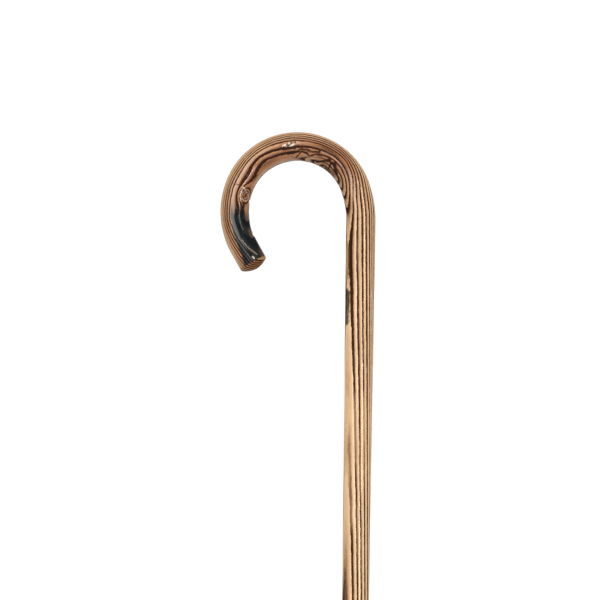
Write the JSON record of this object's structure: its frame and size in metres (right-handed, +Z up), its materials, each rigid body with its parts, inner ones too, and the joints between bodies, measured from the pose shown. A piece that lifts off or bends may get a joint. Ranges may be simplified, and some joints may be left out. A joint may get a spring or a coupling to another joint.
{
  "type": "single point cane",
  "caption": "Bent-wood walking cane: a crook handle and tapering shaft in one piece of scorched, varnished hardwood, standing on a push-on rubber tip.",
  "frame": {"origin": "centre of the rubber tip's underside, on the shaft's axis", "axes": "+Z up along the shaft; the crook bends towards -X, in the XZ plane; +Y is out of one flat side of the crook"},
  "size_m": [0.123, 0.034, 0.9141],
  "materials": {
    "scorched_wood": "open ring-porous grain, darkened by flame at the crook, under gloss varnish",
    "black_rubber": "matt moulded rubber",
    "washer_steel": "zinc plated"
  },
  "bodies": {
    "tip": {"rubber_tip": "black_rubber", "steel_washer": "washer_steel"},
    "stick": {"stick": "scorched_wood"}
  },
  "joints": [
    {"name": "tip_pull", "type": "slide", "parent": "tip", "child": "stick", "axis": [0, 0, 1], "range_m": [0, 0.038]}
  ]
}
